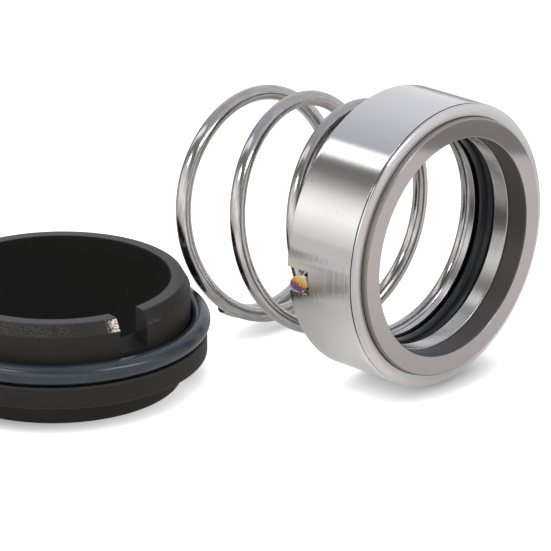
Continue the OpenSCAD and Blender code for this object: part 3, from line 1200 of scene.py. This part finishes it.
def table_top(colour):
    """White table: clear white for the camera but for soft shadows, and a white sheet to metal."""
    finish = Finish("table_white")
    rays = finish.node("ShaderNodeLightPath")
    glossy = finish.other_output(rays, "Is Glossy Ray")
    clear = finish.other_output(rays, "Is Transmission Ray")
    x, y, _ = finish.parts(finish.piece_place())

    # Contact shadows. They lean to one side by the seat and to the other by the head.
    by_head = y.rise(0.012, 0.03)
    lean = finish.vector(by_head * -1.1 + 0.1, (1.0 - by_head) * 0.4, 1.0)
    lean = finish.node("ShaderNodeVectorMath", {"operation": "NORMALIZE"}, [lean])
    inputs = {"Distance": SHADOW_REACH, "Normal": lean}
    shade = finish.node("ShaderNodeAmbientOcclusion", {"samples": 12}, inputs, "AO") ** SHADOW_DEPTH
    open_white = finish.blend(shade, BLACK, WHITE)

    # The sheet that metal mirrors is brighter behind the set and toward its own end, dark in
    # the strip past that end and dim past the spring's free end.
    behind = x.rise(0.03, -0.06) * y.rise(0.06, 0.16)
    reach = x * SHEET_EDGE[0] + y * SHEET_EDGE[1]
    strip = reach.over(SHEET_REACH) * (1.0 - reach.over(SHEET_REACH + STRIP_WIDTH))
    past_spring = x.rise(-0.065, -0.10) * y.rise(-0.02, 0.03)
    mirrored = 0.80 + behind.most(reach.rise(0.08, 0.17)) * 0.22
    mirrored = mirrored * (1.0 - strip * (1.0 - behind) * STRIP_DARK) * (1.0 - past_spring * 0.6)

    # Under the head it is dim below the spring and brighter toward the lapped face.
    under_head = y.rise(0.0, 0.012) * x.rise(0.0, 0.012) * x.rise(0.072, 0.066)
    toward_face = (x - y * 0.3).rise(0.028, 0.045)
    mirrored = mirrored * (1.0 + under_head * (toward_face * 0.36 - 0.22))
    mirrored = mirrored * (0.5 + shade * 0.5)

    lit = finish.node("ShaderNodeBsdfDiffuse", inputs={"Color": (*colour, 1.0)})
    white = finish.node("ShaderNodeEmission", inputs={"Color": open_white, "Strength": CLEAR_WHITE})
    sheet_tone = finish.blend(mirrored * (1.0 / SHEET_LIGHT), BLACK, SHEET_WHITE)
    sheet = finish.node("ShaderNodeEmission", inputs={"Color": sheet_tone, "Strength": SHEET_LIGHT})
    seen = finish.node("ShaderNodeMixShader", inputs=[rays * WHITE_SHARE, lit, white])
    sheet_share = glossy.most(clear) * SHEET_SHARE
    seen = finish.node("ShaderNodeMixShader", inputs=[sheet_share, seen, sheet])
    finish.node("ShaderNodeOutputMaterial", inputs={"Surface": seen})
    return finish.material


def studio_world():
    """Soft light from all round, in bands that run along the seal, and white for the camera."""
    world = bpy.data.worlds.new("studio")
    world.use_nodes = True
    world.node_tree.nodes.clear()
    maker = NodeMaker(world.node_tree)
    direction = maker.node("ShaderNodeTexCoord", output="Generated")
    x, y, z = maker.parts(direction)
    angle = maker.node("ShaderNodeMath", {"operation": "ARCTAN2"}, [z, y])
    bands = maker.node("ShaderNodeValToRGB", {"stops": LIGHT_BANDS}, {0: angle / (2.0 * pi) + 0.5})
    seen = maker.blend(x.rise(0.80, 0.97), bands, EVEN_LIGHT)
    seen = maker.blend(x.rise(-0.80, -0.95), seen, DIM_END)
    for_camera = maker.node("ShaderNodeLightPath")
    level = 1.0 / BAND_STRENGTH
    seen = maker.blend(for_camera, seen, (level, level, level))
    light = maker.node("ShaderNodeBackground", inputs={"Color": seen, "Strength": BAND_STRENGTH})
    maker.node("ShaderNodeOutputWorld", inputs={"Surface": light})
    return world


def softbox(name, place, target, long_side, size, radiance):
    """A rectangular light that faces a target, with its longer side along a direction."""
    lamp = bpy.data.lights.new(name, "AREA")
    lamp.shape = "RECTANGLE"
    lamp.size, lamp.size_y = size
    lamp.energy = radiance * pi * lamp.size * lamp.size_y
    back = (place - target).normalized()
    across = back.cross(long_side).normalized()
    made = new_object(name, lamp)
    turned = Matrix((across.cross(back), across, back)).transposed().to_4x4()
    made.matrix_world = Matrix.Translation(place) @ turned
    made.visible_camera = False
    return lamp


def soften(lamp):
    """Fades a lamp's light toward its edges, as a gel with a soft gradient does."""
    lamp.use_nodes = True
    lamp.node_tree.nodes.clear()
    maker = NodeMaker(lamp.node_tree)
    along, up, _ = maker.parts(maker.node("ShaderNodeNewGeometry", output="Parametric"))
    tones = maker.node("ShaderNodeValToRGB", {"stops": FILL_TONES}, {0: up})
    share = along.rise(0.0, 0.15) * along.rise(1.0, 0.5)
    light = maker.node("ShaderNodeEmission", inputs={"Color": tones, "Strength": share})
    maker.node("ShaderNodeOutputLight", inputs={"Surface": light})


class SEAL_OT_stage(Operator):
    """Sets the white table, the soft light and the camera"""

    bl_idname = "seal.stage"
    bl_label = "Table, light and camera"

    def execute(self, context):
        scene = context.scene
        mesh = bpy.data.meshes.new("table_top")
        signs = ((-1, -1), (1, -1), (1, 1), (-1, 1))
        corners = [(TABLE_REACH * x, TABLE_REACH * y, -TABLE_BELOW) for x, y in signs]
        mesh.from_pydata(corners, [], [(0, 1, 2, 3)])
        table = new_object("table_top", mesh)
        mesh.materials.append(table_top(scene.seal_colours.floor))
        scene.world = studio_world()

        for name, place, target, long_side, size, radiance in SOFTBOXES:
            lamp = softbox(name, Vector(place), Vector(target), Vector(long_side), size, radiance)
            if name == "soft_fill":
                soften(lamp)

        lens = bpy.data.cameras.new("camera")
        lens.sensor_width = SENSOR_WIDTH
        lens.lens = LENS_LENGTH
        lens.shift_x = LENS_SHIFT
        lens.clip_start, lens.clip_end = CLIP_RANGE
        camera = new_object("camera", lens)
        camera.location = CAMERA_PLACE
        camera.rotation_euler = CAMERA_TURN
        scene.camera = camera
        scene.view_settings.view_transform = "Standard"
        return {"FINISHED"}


class SEAL_PT_panel(Panel):
    """Sizes, colours and buttons of the seal set"""

    bl_label = "Mechanical seal set"
    bl_idname = "SEAL_PT_panel"
    bl_space_type = "VIEW_3D"
    bl_region_type = "UI"
    bl_category = "Seal"

    def draw(self, context):
        scene = context.scene
        for group in (scene.seal_carrier, scene.seal_spring, scene.seal_seat, scene.seal_colours):
            box = self.layout.box()
            box.label(text=group.__doc__.rstrip("."))
            for name in group.__annotations__:
                box.prop(group, name)
        for step in STEPS:
            self.layout.operator(step.bl_idname)


STEPS = (
    SEAL_OT_carrier,
    SEAL_OT_face_ring,
    SEAL_OT_thrust_ring,
    SEAL_OT_o_rings,
    SEAL_OT_coil_spring,
    SEAL_OT_seat,
    SEAL_OT_stage,
)
GROUPS = {
    "seal_carrier": CarrierSizes,
    "seal_spring": SpringSizes,
    "seal_seat": SeatSizes,
    "seal_colours": SealColours,
}


def register():
    """Adds the sizes, the steps and the panel to Blender."""
    for name, group in GROUPS.items():
        bpy.utils.register_class(group)
        setattr(bpy.types.Scene, name, PointerProperty(type=group))
    for step in (*STEPS, SEAL_PT_panel):
        bpy.utils.register_class(step)


def unregister():
    """Takes them out again."""
    for step in (SEAL_PT_panel, *reversed(STEPS)):
        bpy.utils.unregister_class(step)
    for name, group in GROUPS.items():
        delattr(bpy.types.Scene, name)
        bpy.utils.unregister_class(group)


def main():
    """Makes every piece and the stage."""
    register()
    for step in STEPS:
        space, name = step.bl_idname.split(".")
        getattr(getattr(bpy.ops, space), name)()


if __name__ == "__main__":
    main()
